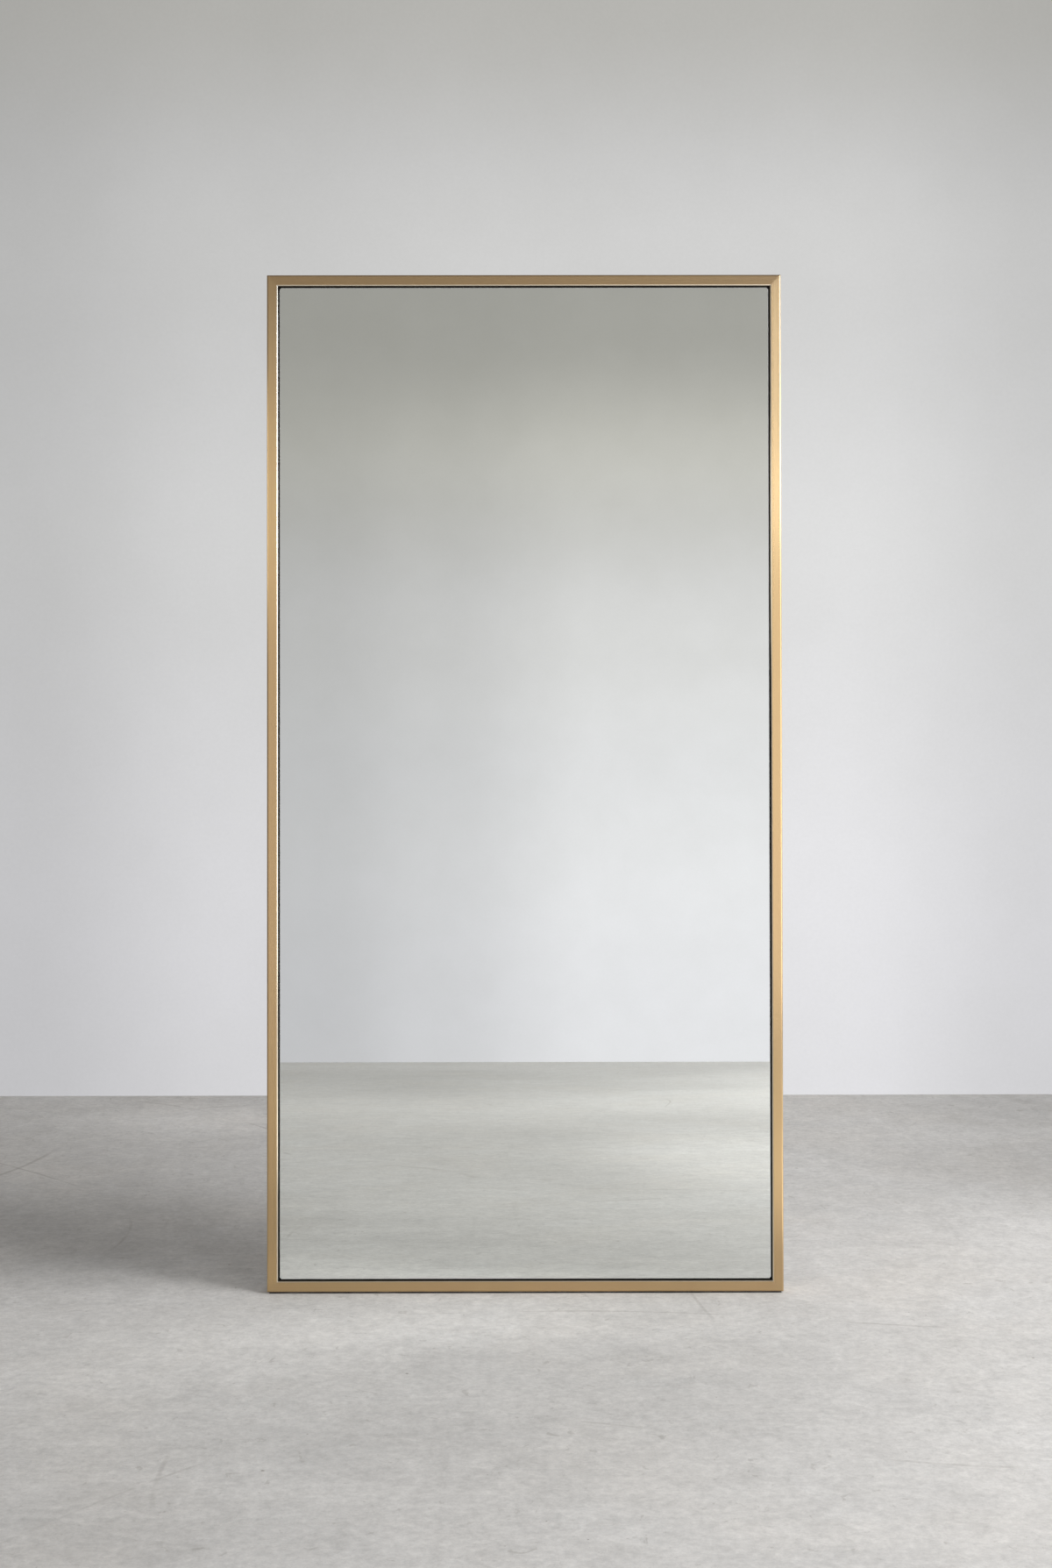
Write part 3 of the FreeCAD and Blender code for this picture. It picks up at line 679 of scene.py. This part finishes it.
def fallOff(tree, place, value, stops):
    # A smooth ramp through stops, which are (metres, lightness) or (metres, colour)
    low, high = stops[0][0], stops[-1][0]
    ramp = addNode(tree, "ShaderNodeValToRGB", place)
    ramp.color_ramp.interpolation = "EASE"
    while len(ramp.color_ramp.elements) < len(stops):
        ramp.color_ramp.elements.new(1.0)
    for element, (at, shade) in zip(ramp.color_ramp.elements, stops):
        element.position = (at - low) / (high - low)
        element.color = (*shade, 1) if isinstance(shade, tuple) else (shade, shade, shade, 1)
    setInputs(ramp, {"Fac": mapValue(tree, (place[0] - 200, place[1]), value, 0, 1, low, high)})
    return ramp.outputs["Color"]


def beforeScatter(tree, place, path):
    # 1 until a ray has met a matt surface, and 0 after that
    return maths(tree, place, "LESS_THAN", path.outputs["Diffuse Depth"], 0.5)


def shownRay(tree):
    # 1 for what the camera, a reflection or a clear piece sees, 0 for light that the room has scattered
    path = addNode(tree, "ShaderNodeLightPath", (-400, 700))
    seen = maths(tree, (-200, 700), "MAXIMUM", path.outputs["Is Camera Ray"], path.outputs["Is Glossy Ray"])
    seen = maths(tree, (0, 700), "MAXIMUM", seen, path.outputs["Is Transmission Ray"])
    return maths(tree, (200, 800), "MULTIPLY", seen, beforeScatter(tree, (0, 900), path))


def makeWall(name, wall):
    material, tree, shader = startMaterial(name)
    material.cycles.emission_sampling = "NONE"
    vector = objectCoordinate(tree, (-1500, 0))
    rolled = noise(tree, (-1100, 400), vector, *room["patches"])
    patched = mapValue(tree, (-900, 400), rolled, 0, 1, *noiseRange)
    stippled = noise(tree, (-1100, 650), vector, *room["grain"])
    grain = mapValue(tree, (-900, 650), stippled, 1 - room["grainDepth"], 1 + room["grainDepth"])
    plaster = mixColours(tree, (-700, 400), patched, room["plasterPale"], room["plasterDull"])
    plaster = vectorMaths(tree, (-550, 400), "MULTIPLY", plaster, grain)
    # The glow that the camera and reflections see is painted light, falling off with height and to the sides
    parts = addNode(tree, "ShaderNodeSeparateXYZ", (-1300, 0))
    setInputs(parts, {"Vector": vector})
    height = fallOff(tree, (-900, 100), parts.outputs["Z"], wall["heights"])
    side = fallOff(tree, (-900, -200), parts.outputs["X"], wall["sides"])
    tone = fallOff(tree, (-600, -450), parts.outputs["Z"], wall["paintedLightTones"])
    above = vectorMaths(tree, (-600, 100), "SUBTRACT", height, wall["ambient"])
    shaded = vectorMaths(tree, (-450, 0), "MULTIPLY", above, side)
    lit = vectorMaths(tree, (-300, 0), "ADD", shaded, wall["ambient"])
    toned = vectorMaths(tree, (-150, 0), "MULTIPLY", lit, tone)
    emission = addNode(tree, "ShaderNodeEmission", (200, 100))
    setInputs(emission, {"Color": vectorMaths(tree, (0, 100), "MULTIPLY", toned, plaster)})
    glow = emission.outputs["Emission"]
    setInputs(shader, {"Base Color": room["plaster"], "Roughness": room["wallRough"],
                       "Specular IOR Level": room["wallShine"]})
    wallShader = mixShaders(tree, (400, 200), shownRay(tree), shader.outputs["BSDF"], glow)
    # A wall is there only from inside the room, so that other views look in past it
    behind = addNode(tree, "ShaderNodeNewGeometry", (400, 500)).outputs["Backfacing"]
    clear = addNode(tree, "ShaderNodeBsdfTransparent", (400, 0)).outputs["BSDF"]
    oneSided = mixShaders(tree, (600, 200), behind, wallShader, clear)
    setInputs(tree.nodes["Material Output"], {"Surface": oneSided})
    return material


# The concrete floor
concrete = {
    "pale": (0.735, 0.727, 0.72, 1),
    "dull": (0.615, 0.605, 0.595, 1),
    "warm": (0.69, 0.672, 0.652, 1),
    "bloom": (0.79, 0.785, 0.78, 1),
    "speck": (0.27, 0.25, 0.225, 1),
    "clouds": (0.9, 6, 0.55, 0.5),    # to the metre, detail, roughness and distortion
    "mottle": (4.5, 9, 0.68, 0.8),
    "blotch": (15, 4, 0.75, 0.5),
    "grit": (65, 6, 0.85, 0.0),
    "tint": (2.1, 4, 0.6, 0.3),
    "fleck": (34, 5, 0.62, 1.2),
    "fleckDepth": 0.28,
    "fleckFrom": 0.63,
    "fleckTo": 0.69,
    "shine": 0.15,
    "roughLow": 0.5,
    "roughHigh": 0.7,
    "bumpStrength": 0.15,
    "bumpDepth": 0.5 * millimetre,
}

# Colours laid over the pale floor, one on the other. As a pattern's value rises through its range, the
# colour's share goes from the first to the second.
veils = [
    {"colour": "dull", "pattern": "clouds", "range": (0.38, 0.64), "shares": (0, 0.75)},
    {"colour": "dull", "pattern": "mottle", "range": (0.50, 0.66), "shares": (0, 0.8)},
    {"colour": "bloom", "pattern": "mottle", "range": (0.32, 0.45), "shares": (0.7, 0)},
    {"colour": "warm", "pattern": "tint", "range": (0.48, 0.66), "shares": (0, 0.6)},
]

# How much each pattern changes the lightness
shades = {"mottle": 0.46, "blotch": 0.46, "grit": 0.86}

# Long thin curved marks, kept to a few areas
scratches = {
    "turns": (0.5, 2.2),
    "perMetre": 0.35,
    "bend": 30.0,
    "lineFrom": 0.9996,
    "where": (2.2, 3, 0.6),    # to the metre, detail and roughness
    "whereFrom": 0.52,
    "whereTo": 0.62,
    "depth": 0.35,
}

# Dark pits, one at most in each cell of a net: the cells to the metre, a pit's size within its cell,
# and the share of the cells that stays clean
pits = [
    {"cellsPerMetre": 11, "radius": 0.035, "clean": 0.9},
    {"cellsPerMetre": 38, "radius": 0.06, "clean": 0.93},
]
pitDepth = 0.8
pitFade = 0.02

# Painted pools of light and painted shade on the floor, each an ellipse with its change of lightness
paintedLightAndShade = [
    {"centre": (-0.38, -0.42, 0), "radii": (0.85, 0.30, 1), "turn": 28 * degree, "change": 0.17},
    {"centre": (-0.27, -0.90, 0), "radii": (0.45, 0.20, 1), "turn": 10 * degree, "change": -0.09},
    {"centre": (-0.55, -1.25, 0), "radii": (0.50, 0.30, 1), "turn": 0, "change": -0.10},
    {"centre": (1.35, 1.45, 0), "radii": (0.75, 0.55, 1), "turn": 0, "change": -0.26},
    {"centre": (1.25, 0.80, 0), "radii": (0.75, 0.75, 1), "turn": 0, "change": -0.20},
    {"centre": (-0.95, 0.20, 0), "radii": (0.75, 0.60, 1), "turn": 0, "change": -0.24},
    {"centre": (-0.78, 1.30, 0), "radii": (0.45, 0.32, 1), "turn": 0, "change": 0.24},
    {"centre": (0.70, -2.90, 0), "radii": (0.80, 1.60, 1), "turn": 0, "change": 0.35},
    {"centre": (0.05, -0.36, 0), "radii": (0.70, 0.20, 1), "turn": 0, "change": 0.14},
    {"centre": (0.00, -7.00, 0), "radii": (7.00, 2.60, 1), "turn": 0, "change": -0.22},
]


def makeScratches(tree, vector, turn, place):
    x, y = place
    turned = addNode(tree, "ShaderNodeMapping", (x - 200, y))
    setInputs(turned, {"Vector": vector, "Rotation": (0, 0, turn)})
    wave = addNode(tree, "ShaderNodeTexWave", place)
    setInputs(wave, {"Vector": turned.outputs["Vector"], "Scale": scratches["perMetre"],
                     "Distortion": scratches["bend"], "Detail": 2.0, "Detail Scale": 0.5})
    line = mapValue(tree, (x + 200, y), wave.outputs["Fac"], 0, 1, scratches["lineFrom"], 1.0)
    spread = noise(tree, (x, y - 200), vector, *scratches["where"])
    where = mapValue(tree, (x + 200, y - 200), spread, 0, 1, scratches["whereFrom"], scratches["whereTo"])
    return maths(tree, (x + 400, y), "MULTIPLY", line, where)


def makePits(tree, vector, pit, place):
    # Each cell's own colour decides whether it has a pit
    x, y = place
    cells = addNode(tree, "ShaderNodeTexVoronoi", place)
    setInputs(cells, {"Vector": vector, "Scale": pit["cellsPerMetre"]})
    dots = mapValue(tree, (x + 200, y), cells.outputs["Distance"], 1, 0, pit["radius"] / 2, pit["radius"])
    chance = addNode(tree, "ShaderNodeSeparateColor", (x + 200, y - 150))
    setInputs(chance, {"Color": cells.outputs["Color"]})
    clean = pit["clean"]
    rare = mapValue(tree, (x + 400, y - 150), chance.outputs["Red"], 0, pitDepth, clean, clean + pitFade)
    return maths(tree, (x + 600, y), "MULTIPLY", dots, rare)


def paintedLightArea(tree, vector, area, place):
    # A factor of painted light where the change is above 0, and of painted shade where it is below: 1 outside
    # the ellipse, changing smoothly to its centre
    x, y = place
    within = addNode(tree, "ShaderNodeMapping", place, vector_type="TEXTURE")
    setInputs(within, {"Vector": vector, "Location": area["centre"], "Rotation": (0, 0, area["turn"]),
                       "Scale": area["radii"]})
    distance = vectorMaths(tree, (x + 200, y), "LENGTH", within.outputs["Vector"])
    return mapValue(tree, (x + 400, y), distance, 1 + area["change"], 1, 0, 1, "SMOOTHERSTEP")


def makeConcrete():
    material, tree, shader = startMaterial("concrete floor")
    vector = objectCoordinate(tree, (-1900, 0))
    patterns = {}
    for index, name in enumerate(("clouds", "mottle", "blotch", "grit", "tint", "fleck")):
        patterns[name] = noise(tree, (-1600, 500 - 200 * index), vector, *concrete[name])
    toned = concrete["pale"]
    for index, veil in enumerate(veils):
        pattern = patterns[veil["pattern"]]
        share = mapValue(tree, (-1350, 500 - 200 * index), pattern, *veil["shares"], *veil["range"])
        toned = mixColours(tree, (-1100 + 200 * index, 400), share, toned, concrete[veil["colour"]])
    for index, (name, shade) in enumerate(shades.items()):
        factor = mapValue(tree, (-500, 700 + 200 * index), patterns[name], 1 - shade / 2, 1 + shade / 2)
        toned = vectorMaths(tree, (-300 + 150 * index, 600), "MULTIPLY", toned, factor)
    # Painted pools of light and painted shade, laid over the floor's colour
    for index, area in enumerate(paintedLightAndShade):
        factor = paintedLightArea(tree, vector, area, (-1100, 900 + 200 * index))
        toned = vectorMaths(tree, (150 + 150 * index, 700), "MULTIPLY", toned, factor)
    for index, pit in enumerate(pits):
        marks = makePits(tree, vector, pit, (-1600, -850 - 350 * index))
        toned = mixColours(tree, (-100 + 150 * index, 400), marks, toned, concrete["speck"])
    flecks = mapValue(tree, (-1350, -500), patterns["fleck"], 0, concrete["fleckDepth"],
                      concrete["fleckFrom"], concrete["fleckTo"])
    toned = mixColours(tree, (200, 400), flecks, toned, concrete["speck"])
    for index, turn in enumerate(scratches["turns"]):
        marks = makeScratches(tree, vector, turn, (-1200, -1600 - 400 * index))
        faint = mapValue(tree, (-600, -1600 - 400 * index), marks, 0, scratches["depth"])
        toned = mixColours(tree, (350 + 150 * index, 400), faint, toned, concrete["speck"])
    rough = mapValue(tree, (-500, 0), patterns["mottle"], concrete["roughLow"], concrete["roughHigh"],
                     *noiseRange)
    setInputs(shader, {"Base Color": toned, "Roughness": rough, "Specular IOR Level": concrete["shine"]})
    addBump(tree, shader, patterns["grit"], concrete["bumpStrength"], concrete["bumpDepth"])
    return material


def makeRoom():
    half, back, front = room["halfWidth"], room["wallBack"], room["wallFront"]
    ground = [(-half, front, 0), (half, front, 0), (half, back, 0), (-half, back, 0)]
    stagePlane("floor", ground, makeConcrete())
    # The wall ahead starts at its other end, and so faces into the room too
    walls = [
        ("wallBehind", half, back, room["backHeight"], makeWall("wall behind", wallBehind)),
        ("wallAhead", -half, front, room["frontHeight"], makeWall("wall ahead", wallAhead)),
    ]
    for name, end, y, high, material in walls:
        stagePlane(name, [(-end, y, 0), (end, y, 0), (end, y, high), (-end, y, high)], material)


makeRoom()
print("stage: room made")

# Light: a low window and two high ones on the right, two fills for the far floor, and a weak sky.
# Places and sizes are in metres and powers in watts.
windows = {
    "low": {"place": (2.15, -1.3, 1.15), "aim": (-0.3, -0.3, 0.5), "width": 2.0, "height": 1.6, "power": 28.5,
            "colour": (1.0, 1.0, 1.0)},
    "high": {"place": (3.29, -0.93, 4.97), "aim": (0.0, -0.4, 0.0), "width": 2.6, "height": 2.6, "power": 71,
             "colour": (1.0, 0.99, 0.97)},
    "far": {"place": (6.88, -3.51, 6.2), "aim": (0.0, -0.6, 0.3), "width": 3.0, "height": 2.5, "power": 196,
            "colour": (1.0, 0.995, 0.985)},
    "left": {"place": (-4.5, -6.0, 2.0), "aim": (0.0, -5.4, 0.0), "width": 2.0, "height": 2.0, "power": 85,
             "colour": (1.0, 0.99, 0.97), "lightsOnly": True},
    "rear": {"place": (3.2, -6.2, 2.0), "aim": (0.6, -6.2, 0.5), "width": 2.0, "height": 1.5, "power": 148,
             "colour": (1.0, 1.0, 0.99), "lightsOnly": True},
}

# Light that only shiny surfaces show. It is placed where the brushed rails catch it and the mirror, seen from
# the camera, doesn't: the low window's bright upper pane, the floor under it, and a window on the left.
glints = {
    "upperPane": {"place": (2.1, -1.2, 2.08), "aim": (0.0, -0.1, 2.08), "width": 1.6, "height": 0.80,
                  "power": 27, "colour": (1.0, 1.12, 1.35)},
    "leftPane": {"place": (-2.58, -1.36, 1.835), "aim": (0.0, -0.1, 1.835), "width": 1.6, "height": 0.63,
                 "power": 8, "colour": (1.0, 0.98, 0.92)},
    "rightPatch": {"place": (2.95, -1.9, 0.01), "aim": (2.95, -1.9, 1.0), "width": 4.1, "height": 3.4,
                   "power": 44, "colour": (1.0, 1.05, 1.05)},
}

# Elsewhere shiny pieces see a dark sky, which is pale only far round to the right
sky = {
    "light": (0.105, 0.099, 0.092, 1),    # on matt surfaces
    "camera": (0.72, 0.72, 0.72, 1),
    "left": (0.05, 0.04, 0.03, 1),
    "right": (1.0, 1.03, 1.06, 1),
    "rightFrom": 0.92,
    "rightTo": 0.995,
    "above": (0.16, 0.14, 0.12, 1),
    "aboveFrom": 0.2,
    "aboveTo": 0.75,
}


def makeWindow(name, window):
    lamp = bpy.data.lights.new(name, "AREA")
    lamp.shape = "RECTANGLE"
    lamp.size = window["width"]
    lamp.size_y = window["height"]
    lamp.energy = window["power"]
    lamp.color = window["colour"]
    opening = bpy.data.objects.new(name, lamp)
    opening.visible_camera = False
    opening.visible_glossy = not window.get("lightsOnly", False)
    bpy.context.scene.collection.objects.link(opening)
    place, aim = Vector(window["place"]), Vector(window["aim"])
    opening.location = place
    opening.rotation_euler = (aim - place).to_track_quat("-Z", "Y").to_euler()
    return opening


def makeGlint(name, glint):
    # Strength falls to nothing after a diffuse bounce, or the mirror would throw this light on the floor
    opening = makeWindow(name, glint)
    opening.visible_diffuse = False
    opening.data.use_nodes = True
    tree = opening.data.node_tree
    path = addNode(tree, "ShaderNodeLightPath", (-600, 0))
    setInputs(tree.nodes["Emission"], {"Strength": beforeScatter(tree, (-300, 0), path)})


def makeSky():
    world = bpy.data.worlds.new("sky")
    bpy.context.scene.world = world
    world.use_nodes = True
    tree = world.node_tree
    direction = addNode(tree, "ShaderNodeTexCoord", (-1300, 0))
    parts = addNode(tree, "ShaderNodeSeparateXYZ", (-1100, 0))
    setInputs(parts, {"Vector": direction.outputs["Generated"]})
    sideways = mapValue(tree, (-900, 100), parts.outputs["X"], 0, 1, sky["rightFrom"], sky["rightTo"])
    upward = mapValue(tree, (-900, -150), parts.outputs["Z"], 0, 1, sky["aboveFrom"], sky["aboveTo"])
    across = mixColours(tree, (-650, 100), sideways, sky["left"], sky["right"])
    shine = mixColours(tree, (-450, 100), upward, across, sky["above"])
    path = addNode(tree, "ShaderNodeLightPath", (-700, 500))
    lit = mixColours(tree, (-300, 200), shownRay(tree), sky["light"], shine)
    seen = mixColours(tree, (-150, 300), path.outputs["Is Camera Ray"], lit, sky["camera"])
    setInputs(tree.nodes["Background"], {"Color": seen, "Strength": 1.0})


for name, window in windows.items():
    makeWindow(name + "Window", window)
for name, glint in glints.items():
    makeGlint(name, glint)
makeSky()

# Camera, fitted to the frame's four corners in the photograph
camera = {
    "place": (-0.0053, -3.9565, 1.1218),
    "pitch": -3.316 * degree,
    "yaw": -0.115 * degree,
    "roll": -0.080 * degree,
    "lens": 50,
}


def makeCamera():
    data = bpy.data.cameras.new("camera")
    data.lens = camera["lens"]
    seen = bpy.data.objects.new("camera", data)
    bpy.context.scene.collection.objects.link(seen)
    turn = Matrix.Rotation(camera["yaw"], 4, "Z")
    tilt = Matrix.Rotation(math.pi / 2 + camera["pitch"], 4, "X")
    roll = Matrix.Rotation(camera["roll"], 4, "Z")
    seen.matrix_world = Matrix.Translation(camera["place"]) @ turn @ tilt @ roll
    bpy.context.scene.camera = seen


makeCamera()
bpy.context.scene.view_settings.view_transform = "Standard"
print("stage: light and camera made")
